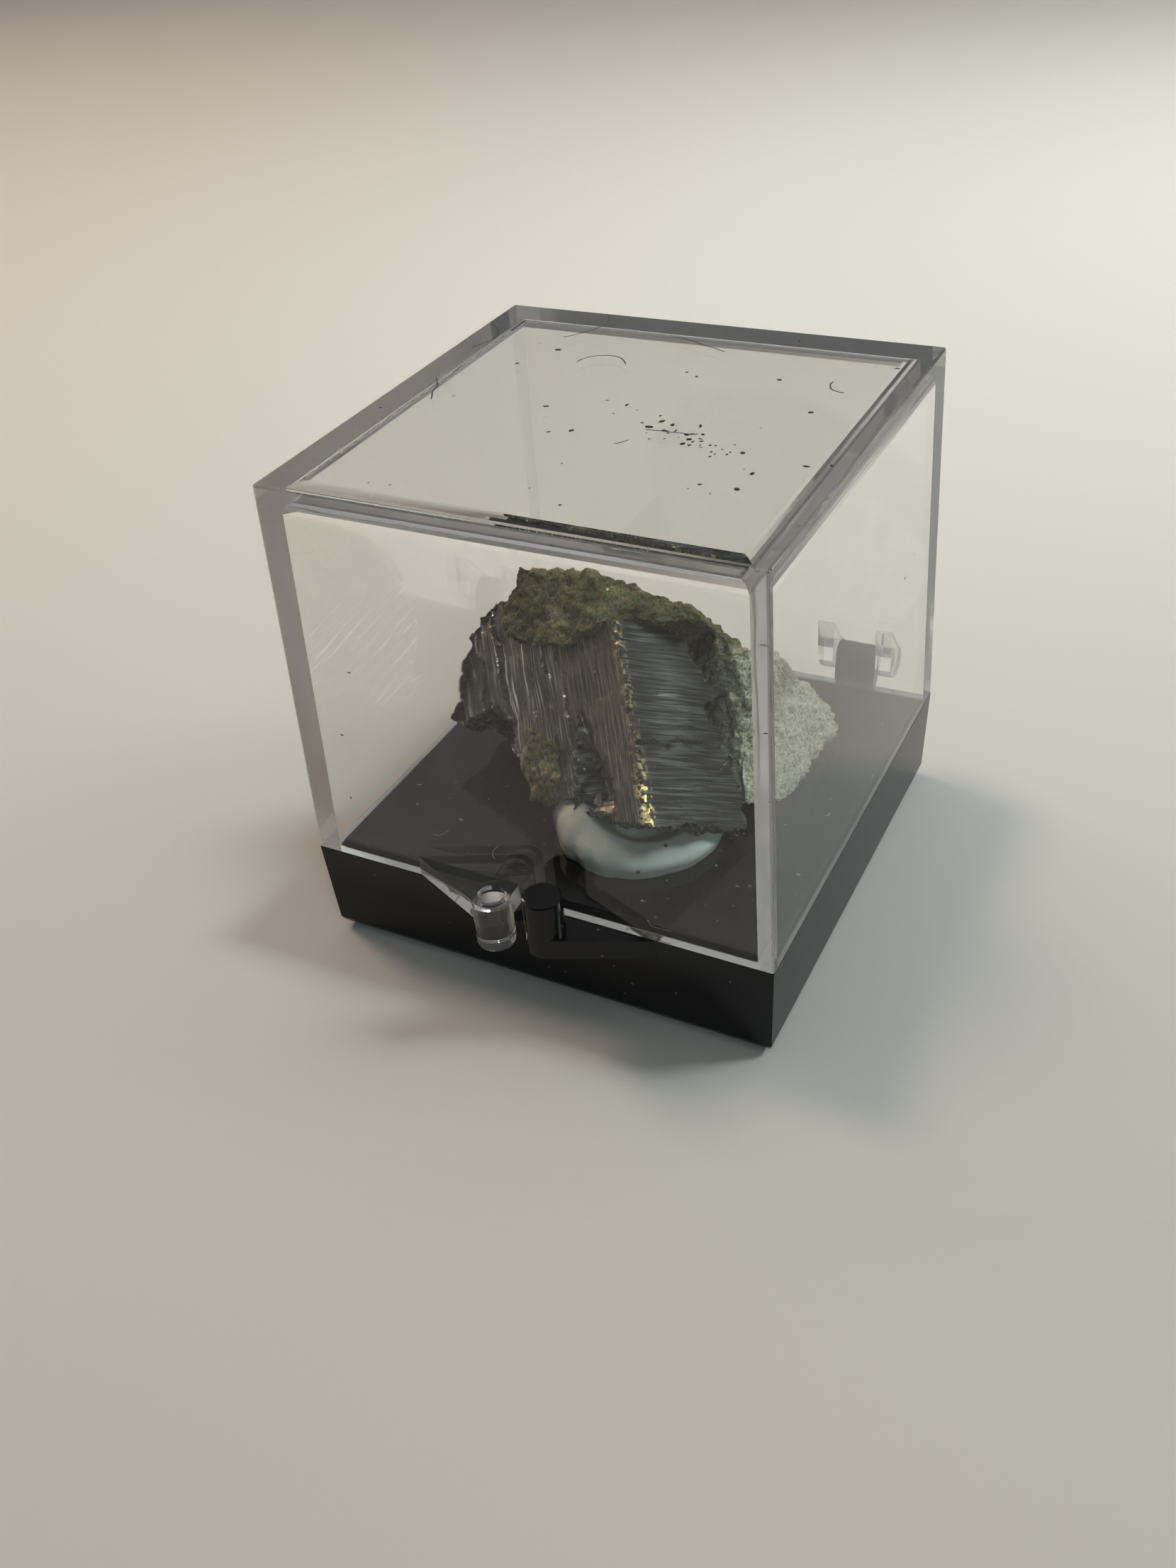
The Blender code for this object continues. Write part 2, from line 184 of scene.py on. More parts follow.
def make_putty():
    """A flattened ball, thick and folded on the left, thin on the right, and pressed down in the middle."""
    bpy.ops.mesh.primitive_uv_sphere_add(segments=128, ring_count=64, radius=1.0)
    putty = bpy.context.active_object
    putty.name = "putty_blob"
    for vert in putty.data.vertices:
        x, y, z = vert.co
        around = math.atan2(y, x)
        leftness = max(0.0, -math.cos(around - 0.5))
        rightness = max(0.0, math.cos(around - 0.1))
        fold = 0.035 * math.sin(11 * around + 1.0) * leftness + 0.02 * math.sin(23 * around) * leftness
        reach = 1.0 + 0.03 * math.sin(3 * around + 0.6) - 0.05 * rightness + fold
        high = 0.72 + 0.5 * leftness ** 2 - 0.12 * rightness
        outward = Vector((x, y)) * reach
        flat = outward.length
        outward *= flat ** -0.25 if flat > 0.01 else 1.0
        inner, outer = PUTTY_DENT
        high *= 0.35 + 0.65 * min(1.0, max(0.0, (outward.length - inner) / (outer - inner)))
        if z < 0:
            outward *= 1.0 + 0.1 * z
        point = PUTTY_MIDDLE + Vector((outward.x * PUTTY_RADII.x, outward.y * PUTTY_RADII.y, 0.0))
        point.z += max(0.0, z + 0.16) ** 0.5 * high * PUTTY_RADII.z
        rough = noise.noise(point * 500.0) * 0.1 + noise.noise(point * 2600.0) * 0.03
        vert.co = point + Vector((x, y, z)) * rough * MM + Vector((0, 0, RAISED_FLOOR_Z + LIFT))
    apply_modifier(putty, "WELD", merge_threshold=0.01 * MM)
    apply_modifier(putty, "SUBSURF", levels=1, render_levels=1)
    soft_shade(putty)
    return putty


def putty_material():
    made, nodes, links, shader = new_material("white mineral putty")
    place = nodes.new("ShaderNodeTexCoord")
    tone = add_node(nodes, "ShaderNodeTexNoise", Scale=330.0, Detail=6.0)
    colour = ramp(nodes, ((0.3, (0.68, 0.74, 0.69)), (0.7, (0.86, 0.93, 0.87))))
    specks = add_node(nodes, "ShaderNodeGroup", node_tree=dust_specks, Size=0.9 * MM, Amount=0.12)
    spotted = add_node(nodes, "ShaderNodeMix", data_type="RGBA")
    spotted.inputs[SECOND].default_value = (0.16, 0.17, 0.15, 1.0)
    grain = add_node(nodes, "ShaderNodeTexNoise", Scale=1500.0, Detail=5.0)
    bump = add_node(nodes, "ShaderNodeBump", Strength=0.3, Distance=0.0001)
    for texture in (tone, grain):
        links.new(place.outputs["Object"], texture.inputs["Vector"])
    links.new(tone.outputs["Fac"], colour.inputs[0])
    links.new(specks.outputs[0], spotted.inputs[FACTOR])
    links.new(colour.outputs[0], spotted.inputs[FIRST])
    links.new(spotted.outputs[MIXED], shader.inputs["Base Color"])
    links.new(grain.outputs["Fac"], bump.inputs["Height"])
    links.new(bump.outputs[0], shader.inputs["Normal"])
    shader.inputs["Roughness"].default_value = 0.55
    shader.inputs["Subsurface Weight"].default_value = 0.05
    shader.inputs["Subsurface Scale"].default_value = 0.001
    return made


putty = make_putty()
putty.data.materials.append(putty_material())
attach(putty, "body")
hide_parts("mineral_putty")


# ---------------------------------------------------------------- pyrite crystal
# A broken pyrite cube leaning back on one corner. Growth lines step across its left face along the ridge,
# and across its right face at right angles to it; its outer edges are snapped off and ragged.

RIDGE_FOOT = Vector((6.4, -11.0, 12.1)) * MM
RIDGE_HEAD = Vector((0.2, -2.0, 20.4)) * MM
LEFT_END = Vector((-12.3, -3.0, 10.9)) * MM
RIGHT_END = Vector((10.3, -6.0, 8.5)) * MM

along_ridge = (RIDGE_HEAD - RIDGE_FOOT).normalized()


def square_to_ridge(point):
    """The direction from the ridge to this point, at right angles to the ridge."""
    away = point - RIDGE_FOOT
    return (away - along_ridge * away.dot(along_ridge)).normalized()


left_along = square_to_ridge(LEFT_END)
right_along = square_to_ridge(RIGHT_END)
left_outward = along_ridge.cross(left_along)
right_outward = right_along.cross(along_ridge)


def face_matrix(across, outward):
    """Places a shape drawn in (across, up the ridge, outward), in millimetres, on a face of the crystal."""
    turn = Matrix((across, along_ridge, outward)).transposed().to_4x4()
    return Matrix.Translation(RIDGE_FOOT) @ turn @ Matrix.Scale(MM, 4)


LEFT_FACE = face_matrix(left_along, left_outward)
RIGHT_FACE = face_matrix(right_along, right_outward)

# Outlines of the two faces in millimetres, as (up the ridge, away from it)
LEFT_OUTLINE = (
    (0.0, -3.5), (0.0, 0.0), (1.2, 2.6), (2.9, 6.1), (3.8, 6.2), (5.3, 9.4), (7.3, 9.9), (8.9, 10.6),
    (10.7, 10.3), (11.4, 11.8), (12.8, 12.1), (11.7, 15.0), (13.0, 15.8), (16.2, 14.1), (18.0, 12.5),
    (18.9, 11.0), (18.9, 9.4), (17.2, 9.2), (15.6, 8.4), (14.3, 3.8), (13.8, 0.0), (13.8, -3.5),
)
RIGHT_OUTLINE = (
    (18.9, -4.5), (18.9, -0.6), (13.8, 0.0), (14.4, 6.1), (11.4, 5.9), (9.2, 8.2), (8.0, 5.8), (6.9, 7.4),
    (4.9, 7.6), (3.3, 7.8), (2.0, 8.1), (-0.7, 7.4), (-0.2, 3.0), (0.0, 0.0), (0.0, -1.0), (-1.0, -4.5),
)
LEFT_DEPTH = 10.5
RIGHT_DEPTH = 20.0
CRYSTAL_VOXEL = 0.12
EDGE_SEED = 7
FACE_SLACK = 0.3  # how far from a face's plane, in millimetres, a point still belongs to it


def mesh_object(name, bm):
    """Puts what was built in bm in the scene, as an object with this name."""
    mesh = bpy.data.meshes.new(name)
    bm.to_mesh(mesh)
    bm.free()
    obj = bpy.data.objects.new(name, mesh)
    bpy.context.scene.collection.objects.link(obj)
    return obj


def prism(name, outline, matrix, depth):
    """A solid with this outline, which goes back by this depth from a face of the crystal."""
    bm = bmesh.new()
    face = bm.faces.new([bm.verts.new((a, u, -depth)) for u, a in outline])
    made = bmesh.ops.extrude_face_region(bm, geom=[face])
    grown = [v for v in made["geom"] if isinstance(v, bmesh.types.BMVert)]
    bmesh.ops.translate(bm, verts=grown, vec=(0, 0, depth))
    bmesh.ops.recalc_face_normals(bm, faces=bm.faces)
    solid = mesh_object(name, bm)
    solid.data.transform(matrix)
    return solid


def keep_common(obj, other):
    """Cuts obj down to what it shares with other, which is used up."""
    apply_modifier(obj, "BOOLEAN", operation="INTERSECT", object=other, solver="EXACT")
    bpy.data.objects.remove(other, do_unlink=True)


def growth_lines(places, runs, span, gaps, rise, edge, seed):
    """Height of a face that steps at each growth line. The lines come one after another over places, and fade
    in and out along runs, so that each one catches the light for only a part of its length."""
    draw = random.Random(seed)
    heights = np.zeros(len(places))
    stations = np.linspace(runs.min(), runs.max(), 120)
    place, level = span[0], 0.0
    while place < span[1]:
        place += draw.uniform(*gaps) * (0.4 + draw.random())
        change = draw.gauss(0.0, rise)
        if abs(level + change) > 2.0 * rise:
            change = -change
        level += change
        phase = draw.uniform(0, 100)
        wobble = [0.06 * noise.noise(Vector((t * 0.4, phase, 0.0))) for t in stations]
        shown = [0.55 + 1.1 * noise.noise(Vector((t * 0.27, phase, 5.0))) for t in stations]
        middle = place + np.interp(runs, stations, wobble)
        strength = np.clip(np.interp(runs, stations, shown), 0.0, 1.0)
        heights += change * strength * np.clip((places - middle) / edge, 0.0, 1.0)
    return heights


def hump(values, middle, width):
    """1 at the middle, and close to 0 at twice this width away from it."""
    return np.exp(-(((values - middle) / width) ** 2))


def left_relief(across, up):
    """Broad shape of the left face: its left end falls back, and a groove opens downwards in it."""
    back = -0.16 * np.maximum(0.0, across - 8.4)
    opening = np.clip((9.3 - up) / 7.0, 0.0, 1.0)
    depth = 3.0 * opening * np.clip((up - 1.0) / 3.0, 0.35, 1.0)
    groove = -depth * hump(across, 4.3 - 0.1 * opening, 0.2 + 1.3 * opening)
    bulge = 0.5 * opening * hump(across, 1.8, 1.3)
    return back + groove + bulge


def right_relief(across, up):
    """Broad shape of the right face: nearly flat, with one scratch across it below the middle."""
    return -0.06 * hump(up, 5.5 + 0.03 * across, 0.09)


def smooth_share(values, low, high):
    """0 below low, 1 above high, and a smooth change between them."""
    share = np.clip((values - low) / (high - low), 0.0, 1.0)
    return share * share * (3 - 2 * share)


def vertex_array(mesh, name):
    """A vector attribute of the mesh's vertices, one row per vertex."""
    values = np.empty(len(mesh.vertices) * 3)
    mesh.vertices.foreach_get(name, values)
    return values.reshape(-1, 3)


def on_face(normals, from_foot, outward):
    """Share from 0 to 1 by which each point lies on the face with this outward direction, as a column."""
    facing = smooth_share(normals @ outward, 0.75, 0.95)
    return (facing * (np.abs(from_foot @ outward) < FACE_SLACK))[:, None]


def make_crystal():
    """The solid that both outlines share, with growth lines on its two faces and broken outer edges."""
    crystal = prism("pyrite_crystal", LEFT_OUTLINE, LEFT_FACE, LEFT_DEPTH)
    keep_common(crystal, prism("right_block", RIGHT_OUTLINE, RIGHT_FACE, RIGHT_DEPTH))
    apply_modifier(crystal, "REMESH", mode="VOXEL", voxel_size=CRYSTAL_VOXEL * MM)
    points = vertex_array(crystal.data, "co")
    normals = vertex_array(crystal.data, "normal")
    left, right, up = (np.array(v) for v in (left_outward, right_outward, along_ridge))
    from_foot = (points - np.array(RIDGE_FOOT)) / MM
    on_left = on_face(normals, from_foot, left)
    on_right = on_face(normals, from_foot, right)
    height = from_foot @ up
    left_across = from_foot @ np.array(left_along)
    right_across = from_foot @ np.array(right_along)
    away = np.maximum(left_across, right_across)
    # Broken outer edges: a ragged shift that stays in the plane of each face and fades out at the ridge.
    # noise_vector starts from the time of day unless it is given a seed.
    noise.seed_set(EDGE_SEED)
    coarse = np.array([noise.noise_vector(Vector(p) * 0.9) for p in from_foot])
    fine = np.array([noise.noise_vector(Vector(p) * 3.1) for p in from_foot])
    shift = (coarse * 0.45 + fine * 0.18) * smooth_share(away, 0.2, 2.0)[:, None]
    shift -= on_left * (shift @ left)[:, None] * left
    shift -= on_right * (shift @ right)[:, None] * right
    # The ridge is worn down where small chips have come off
    chips = np.array([noise.noise(Vector(p) * 2.3) for p in from_foot])
    worn = np.clip(chips - 0.1, 0.0, 1.0) * (1 - smooth_share(away, 0.0, 0.35)) * 0.5
    # Each face's height is its broad shape and its growth lines, from wherever the point is now
    left_steps = growth_lines(
        left_across, height, span=(-0.2, 17.0), gaps=(0.15, 0.5), rise=0.045, edge=0.1, seed=3,
    )
    coarse_steps = growth_lines(
        left_across, height, span=(7.0, 17.0), gaps=(0.4, 1.0), rise=0.2, edge=0.12, seed=5,
    )
    right_steps = growth_lines(
        height, right_across, span=(-2.0, 20.0), gaps=(0.3, 0.9), rise=0.03, edge=0.2, seed=8,
    )
    left_rise = left_relief(left_across, height) + left_steps + coarse_steps - from_foot @ left
    right_rise = right_relief(right_across, height) + right_steps - from_foot @ right
    shift += on_left * left_rise[:, None] * left
    shift += on_right * right_rise[:, None] * right
    shift -= worn[:, None] * (left + right) / 2
    points += shift * MM
    points[:, 2] = np.maximum(points[:, 2], RAISED_FLOOR_Z + 0.05 * MM)
    crystal.data.vertices.foreach_set("co", points.ravel())
    crystal.data.update()
    return crystal


def map_range(nodes, low, high, to_low=0.0, to_high=1.0):
    """A node that turns the span from low to high into to_low to to_high, and holds its ends."""
    node = nodes.new("ShaderNodeMapRange")
    for name, value in (("From Min", low), ("From Max", high), ("To Min", to_low), ("To Max", to_high)):
        node.inputs[name].default_value = value
    return node


def make_streak_group():
    """Growth lines that run at right angles to X: fine and broad ones, and a mask of the few
    that get painted glints (painted highlights).
    """
    group = bpy.data.node_groups.new("growth streaks", "ShaderNodeTree")
    group.interface.new_socket("Vector", in_out="INPUT", socket_type="NodeSocketVector")
    for name in ("Fine", "Broad", "Painted glint"):
        group.interface.new_socket(name, in_out="OUTPUT", socket_type="NodeSocketFloat")
    nodes, links = group.nodes, group.links
    given = nodes.new("NodeGroupInput")
    out = nodes.new("NodeGroupOutput")
    drawn_out = add_node(nodes, "ShaderNodeMapping", vector_type="POINT")
    drawn_out.inputs["Scale"].default_value = (1.0, 0.035, 0.035)
    fine = add_node(nodes, "ShaderNodeTexNoise", Scale=9000.0, Detail=4.0, Roughness=0.6)
    broad = add_node(nodes, "ShaderNodeTexNoise", Scale=1900.0, Detail=3.0)
    bright = add_node(nodes, "ShaderNodeTexNoise", Scale=4300.0, Detail=2.0)
    painted_glint = map_range(nodes, 0.58, 0.64)
    links.new(given.outputs["Vector"], drawn_out.inputs["Vector"])
    for texture in (fine, broad, bright):
        links.new(drawn_out.outputs[0], texture.inputs["Vector"])
    links.new(bright.outputs["Fac"], painted_glint.inputs["Value"])
    links.new(fine.outputs["Fac"], out.inputs["Fine"])
    links.new(broad.outputs["Fac"], out.inputs["Broad"])
    links.new(painted_glint.outputs[0], out.inputs["Painted glint"])
    return group


def make_chip_group():
    """Mask of the small bright facets chipped along the ridge, most of them near its foot."""
    group = bpy.data.node_groups.new("ridge chips", "ShaderNodeTree")
    group.interface.new_socket("Mask", in_out="OUTPUT", socket_type="NodeSocketFloat")
    nodes, links = group.nodes, group.links
    out = nodes.new("NodeGroupOutput")
    place = nodes.new("ShaderNodeTexCoord")
    from_foot = add_node(nodes, "ShaderNodeVectorMath", operation="SUBTRACT")
    from_foot.inputs[1].default_value = RIDGE_FOOT
    up = add_node(nodes, "ShaderNodeVectorMath", operation="DOT_PRODUCT")
    up.inputs[1].default_value = along_ridge
    swept = add_node(nodes, "ShaderNodeVectorMath", operation="CROSS_PRODUCT")
    swept.inputs[1].default_value = along_ridge
    away = add_node(nodes, "ShaderNodeVectorMath", operation="LENGTH")
    near = map_range(nodes, 0.75 * MM, 0.35 * MM)
    low = map_range(nodes, 2.6 * MM, 3.6 * MM, 1.0, 0.3)
    facets = add_node(nodes, "ShaderNodeTexVoronoi", Scale=4200.0)
    chance = nodes.new("ShaderNodeSeparateColor")
    chosen = map_range(nodes, 0.6, 0.8)
    here = add_node(nodes, "ShaderNodeMath", operation="MULTIPLY")
    mask = add_node(nodes, "ShaderNodeMath", operation="MULTIPLY")
    links.new(place.outputs["Object"], from_foot.inputs[0])
    links.new(place.outputs["Object"], facets.inputs["Vector"])
    links.new(from_foot.outputs[0], up.inputs[0])
    links.new(from_foot.outputs[0], swept.inputs[0])
    links.new(swept.outputs[0], away.inputs[0])
    links.new(away.outputs["Value"], near.inputs["Value"])
    links.new(up.outputs["Value"], low.inputs["Value"])
    links.new(facets.outputs["Color"], chance.inputs[0])
    links.new(chance.outputs[0], chosen.inputs["Value"])
    links.new(near.outputs[0], here.inputs[0])
    links.new(low.outputs[0], here.inputs[1])
    links.new(here.outputs[0], mask.inputs[0])
    links.new(chosen.outputs[0], mask.inputs[1])
    links.new(mask.outputs[0], out.inputs["Mask"])
    return group


growth_streaks = make_streak_group()
ridge_chips = make_chip_group()


def pyrite_material(name, across, base_colours, painted_glints, relief, gloss):
    """Tarnished pyrite with growth lines that run at right angles to the direction across. The glint argument
    holds its painted glints, pale streaks painted in where step edges would catch the light: their strength
    at two distances from the ridge's foot, in millimetres, and their colour."""
    made, nodes, links, shader = new_material(name)
    along = along_ridge if across is left_along else right_along
    turn = Matrix((across, along, across.cross(along))).to_euler("XYZ")
    foot = RIDGE_FOOT.dot(across)
    (start, least), (end, most), glint_colour = painted_glints
    place = nodes.new("ShaderNodeTexCoord")
    turned = add_node(nodes, "ShaderNodeMapping", vector_type="POINT")
    turned.inputs["Rotation"].default_value = turn
    streaks = add_node(nodes, "ShaderNodeGroup", node_tree=growth_streaks)
    chips = add_node(nodes, "ShaderNodeGroup", node_tree=ridge_chips)
    blotches = add_node(nodes, "ShaderNodeTexNoise", Scale=300.0, Detail=4.0)
    colour = ramp(nodes, tuple(zip((0.36, 0.52, 0.68), base_colours)))
    tint = add_node(nodes, "ShaderNodeMix", data_type="RGBA", blend_type="MULTIPLY")
    tint.inputs[FACTOR].default_value = 0.6
    shade = ramp(nodes, ((0.3, 0.65), (0.65, 1.0)))
    split = nodes.new("ShaderNodeSeparateXYZ")
    # Painted glints: a pale colour mixed into the base colour along a few growth lines, as painted
    # highlights.
    region = map_range(nodes, foot + start * MM, foot + end * MM, least, most)
    painted_glint = add_node(nodes, "ShaderNodeMath", operation="MULTIPLY")
    painted_glint_mix = add_node(nodes, "ShaderNodeMix", data_type="RGBA")
    painted_glint_mix.inputs[SECOND].default_value = (*glint_colour, 1.0)
    chipped = add_node(nodes, "ShaderNodeMix", data_type="RGBA")
    chipped.inputs[SECOND].default_value = (0.78, 0.66, 0.34, 1.0)
    height = add_node(nodes, "ShaderNodeMath", operation="ADD")
    bump = add_node(nodes, "ShaderNodeBump", Strength=relief, Distance=0.00009)
    rough = ramp(nodes, ((0.3, gloss), (0.7, gloss + 0.22)))
    links.new(place.outputs["Object"], turned.inputs["Vector"])
    links.new(place.outputs["Object"], blotches.inputs["Vector"])
    links.new(turned.outputs[0], streaks.inputs["Vector"])
    links.new(turned.outputs[0], split.inputs[0])
    links.new(split.outputs["X"], region.inputs["Value"])
    links.new(region.outputs[0], painted_glint.inputs[0])
    links.new(streaks.outputs["Painted glint"], painted_glint.inputs[1])
    links.new(streaks.outputs["Fine"], colour.inputs[0])
    links.new(colour.outputs[0], tint.inputs[FIRST])
    links.new(blotches.outputs["Fac"], shade.inputs[0])
    links.new(shade.outputs[0], tint.inputs[SECOND])
    links.new(tint.outputs[MIXED], painted_glint_mix.inputs[FIRST])
    links.new(painted_glint.outputs[0], painted_glint_mix.inputs[FACTOR])
    links.new(painted_glint_mix.outputs[MIXED], chipped.inputs[FIRST])
    links.new(chips.outputs[0], chipped.inputs[FACTOR])
    links.new(chipped.outputs[MIXED], shader.inputs["Base Color"])
    links.new(streaks.outputs["Fine"], height.inputs[0])
    links.new(streaks.outputs["Broad"], height.inputs[1])
    links.new(height.outputs[0], bump.inputs["Height"])
    links.new(bump.outputs[0], shader.inputs["Normal"])
    links.new(blotches.outputs["Fac"], rough.inputs[0])
    links.new(rough.outputs[0], shader.inputs["Roughness"])
    shader.inputs["Metallic"].default_value = 0.75
    return made


crystal = make_crystal()
# Painted shade: the right face, the same pyrite as the left, has far darker colours than the left face.
LEFT_COLOURS = ((0.085, 0.079, 0.07), (0.19, 0.178, 0.158), (0.45, 0.435, 0.4))
RIGHT_COLOURS = ((0.014, 0.015, 0.014), (0.04, 0.042, 0.039), (0.12, 0.125, 0.115))
# Painted glints of each face: their strength at two distances from the ridge's foot, in mm, and their colour.
LEFT_PAINTED_GLINTS = ((5.0, 0.06), (8.5, 1.0), (0.95, 0.97, 1.0))
RIGHT_PAINTED_GLINTS = ((0.0, 0.4), (19.0, 0.15), (0.15, 0.155, 0.15))
for name, across, colours, painted_glints, relief, gloss in (
    ("pyrite left face", left_along, LEFT_COLOURS, LEFT_PAINTED_GLINTS, 0.5, 0.28),
    ("pyrite right face", along_ridge, RIGHT_COLOURS, RIGHT_PAINTED_GLINTS, 0.4, 0.33),
):
    crystal.data.materials.append(pyrite_material(name, across, colours, painted_glints, relief, gloss))
for polygon in crystal.data.polygons:
    polygon.material_index = int(polygon.normal.dot(right_outward) > polygon.normal.dot(left_outward))
soft_shade(crystal, 22)
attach(crystal, "body")
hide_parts("pyrite_specimen")


# ---------------------------------------------------------------- matrix rock
# Crumbly greenish grey matrix that the crystal grew in: it caps the top, backs the crystal and sticks out
# behind its right side, with a lump left in the lower left of the left face. It is one rough natural mass.

# Corners in millimetres of the four lumps that make up the rock
ROCK_CAP = (
    (-8.7, 1.5, 20.9), (-6.8, 1.0, 21.3), (-2.8, 1.5, 21.5), (1.0, 1.5, 20.9), (3.8, 1.6, 20.2),
    (5.0, 1.5, 19.2), (-9.6, 0.2, 17.9), (-8.4, -1.5, 17.2), (-5.8, -2.4, 17.4), (-3.4, -3.0, 18.2),
    (-0.6, -2.4, 20.3), (4.6, 2.8, 18.0), (-8.0, 6.0, 15.0), (0.0, 7.0, 16.0), (4.0, 6.0, 16.0),
    (-2.0, 2.0, 13.0),
)
ROCK_RIGHT = (
    (4.6, 4.0, 17.4), (6.6, 3.4, 16.4), (8.5, 4.0, 14.6), (10.6, 5.0, 12.6), (11.3, 5.0, 9.9),
    (10.7, 7.0, 8.0), (10.2, -1.0, 8.0), (9.5, -3.4, 9.0), (6.9, 0.2, 12.9), (4.0, 9.0, 13.0),
    (5.0, 9.0, 8.0), (0.0, 8.0, 8.0), (0.0, 7.5, 15.0), (4.0, -2.0, 9.0),
)
ROCK_BACK = (
    (-10.6, 1.6, 17.0), (-11.6, 1.0, 12.4), (-9.8, -0.4, 9.6), (-6.4, -3.4, 9.3), (-3.0, -5.6, 9.2),
    (1.0, -6.0, 9.2), (-7.0, 6.0, 11.0), (-4.0, 7.0, 8.2), (1.0, 8.0, 8.0), (0.0, 8.0, 15.0),
    (-7.0, 5.0, 16.0),
)
ROCK_LUMP = (
    (-5.6, -5.7, 11.6), (-4.9, -6.8, 10.3), (-3.4, -8.3, 9.5), (-1.4, -8.9, 10.0), (-1.9, -7.0, 13.6),
    (-3.3, -5.6, 13.4), (-3.0, -3.0, 9.7), (-1.0, -5.0, 9.1),
)
ROCK_VOXEL = 0.16


def hull_block(corners):
    """The smallest block with flat faces that holds all these corners."""
    bm = bmesh.new()
    for corner in corners:
        bm.verts.new(Vector(corner) * MM)
    made = bmesh.ops.convex_hull(bm, input=bm.verts)
    bmesh.ops.delete(bm, geom=list({*made["geom_interior"], *made["geom_unused"]}), context="VERTS")
    bmesh.ops.recalc_face_normals(bm, faces=bm.faces)
    return mesh_object("rock_block", bm)


def crumbled(point):
    """How far the rock's surface stands out at a point: lumps, crumbs and grains, in millimetres."""
    place = point / MM
    lump = noise.noise(place * 0.35) * 0.5
    crumb = noise.turbulence(place * 0.8, 3, True) * 0.55 - 0.35
    grain = noise.noise(place * 2.6) * 0.16 + noise.noise(place * 5.5) * 0.09
    pit = -0.8 * max(0.0, noise.noise(place * 1.1 + Vector((7, 3, 1))) - 0.3)
    return lump + crumb + grain + pit


def make_matrix():
    """Four blocks grown into one, with a rough surface that stays above the floor."""
    blocks = [hull_block(corners) for corners in (ROCK_CAP, ROCK_RIGHT, ROCK_BACK, ROCK_LUMP)]
    select_only(*blocks)
    bpy.ops.object.join()
    rock = bpy.context.active_object
    rock.name = "matrix_rock"
    apply_modifier(rock, "REMESH", mode="VOXEL", voxel_size=ROCK_VOXEL * MM)
    apply_modifier(rock, "SMOOTH", factor=0.7, iterations=4)
    normals = [v.normal.copy() for v in rock.data.vertices]
    for vert, normal in zip(rock.data.vertices, normals):
        vert.co += normal * crumbled(vert.co) * MM
        vert.co.z = max(vert.co.z, RAISED_FLOOR_Z + 0.05 * MM)
    soft_shade(rock, 60)
    return rock


def matrix_material():
    """Grainy matrix in light and dark patches, paler towards the right, with a few sparks of pyrite in it."""
    made, nodes, links, shader = new_material("greenish grey matrix")
    place = nodes.new("ShaderNodeTexCoord")
    patches = add_node(nodes, "ShaderNodeTexNoise", Scale=330.0, Detail=6.0, Roughness=0.6)
    grains = add_node(nodes, "ShaderNodeTexNoise", Scale=4800.0, Detail=4.0, Roughness=0.75)
    colour = ramp(nodes, (
        (0.3, (0.045, 0.043, 0.024)), (0.43, (0.22, 0.212, 0.108)),
        (0.57, (0.38, 0.37, 0.21)), (0.72, (0.95, 0.93, 0.70)),
    ))
    speckle = ramp(nodes, ((0.36, 0.3), (0.64, 1.6)))
    mixed = add_node(nodes, "ShaderNodeMix", data_type="RGBA", blend_type="MULTIPLY")
    mixed.inputs[FACTOR].default_value = 0.8
    sparks = add_node(nodes, "ShaderNodeGroup", node_tree=dust_specks, Size=0.7 * MM, Amount=0.06)
    bright = add_node(nodes, "ShaderNodeMix", data_type="RGBA")
    bright.inputs[SECOND].default_value = (0.75, 0.68, 0.42, 1.0)
    dull = add_node(nodes, "ShaderNodeMath", operation="MULTIPLY_ADD")
    dull.inputs[1].default_value = -0.55
    dull.inputs[2].default_value = 0.8
    bump = add_node(nodes, "ShaderNodeBump", Strength=1.0, Distance=0.0002)
    for texture in (patches, grains):
        links.new(place.outputs["Object"], texture.inputs["Vector"])
    # The rock's colour grows paler towards +X, from 4 mm to 8.5 mm.
    across = nodes.new("ShaderNodeSeparateXYZ")
    paler_to_right = map_range(nodes, 4.0 * MM, 8.5 * MM, 0.0, 0.27)
    lighter = add_node(nodes, "ShaderNodeMath", operation="ADD")
    links.new(place.outputs["Object"], across.inputs[0])
    links.new(across.outputs["X"], paler_to_right.inputs["Value"])
    links.new(paler_to_right.outputs[0], lighter.inputs[0])
    links.new(patches.outputs["Fac"], lighter.inputs[1])
    links.new(lighter.outputs[0], colour.inputs[0])
    links.new(grains.outputs["Fac"], speckle.inputs[0])
    links.new(colour.outputs[0], mixed.inputs[FIRST])
    links.new(speckle.outputs[0], mixed.inputs[SECOND])
    links.new(mixed.outputs[MIXED], bright.inputs[FIRST])
    links.new(sparks.outputs[0], bright.inputs[FACTOR])
    links.new(bright.outputs[MIXED], shader.inputs["Base Color"])
    links.new(sparks.outputs[0], shader.inputs["Metallic"])
    links.new(sparks.outputs[0], dull.inputs[0])
    links.new(dull.outputs[0], shader.inputs["Roughness"])
    links.new(grains.outputs["Fac"], bump.inputs["Height"])
    links.new(bump.outputs[0], shader.inputs["Normal"])
    return made


rock = make_matrix()
rock.data.materials.append(matrix_material())
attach(rock, "body")
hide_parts("pyrite_specimen")


# ---------------------------------------------------------------- clear lid
# The lid is one moulding in clear polystyrene: a top and four walls, with a front tab, its hanging peg and
# hinge ears whose pins turn in the base's lugs. The walls are slightly wavy from the mould.

EDGE_HAZE = 0.22  # how milky the plastic looks to light that was reflected inside it


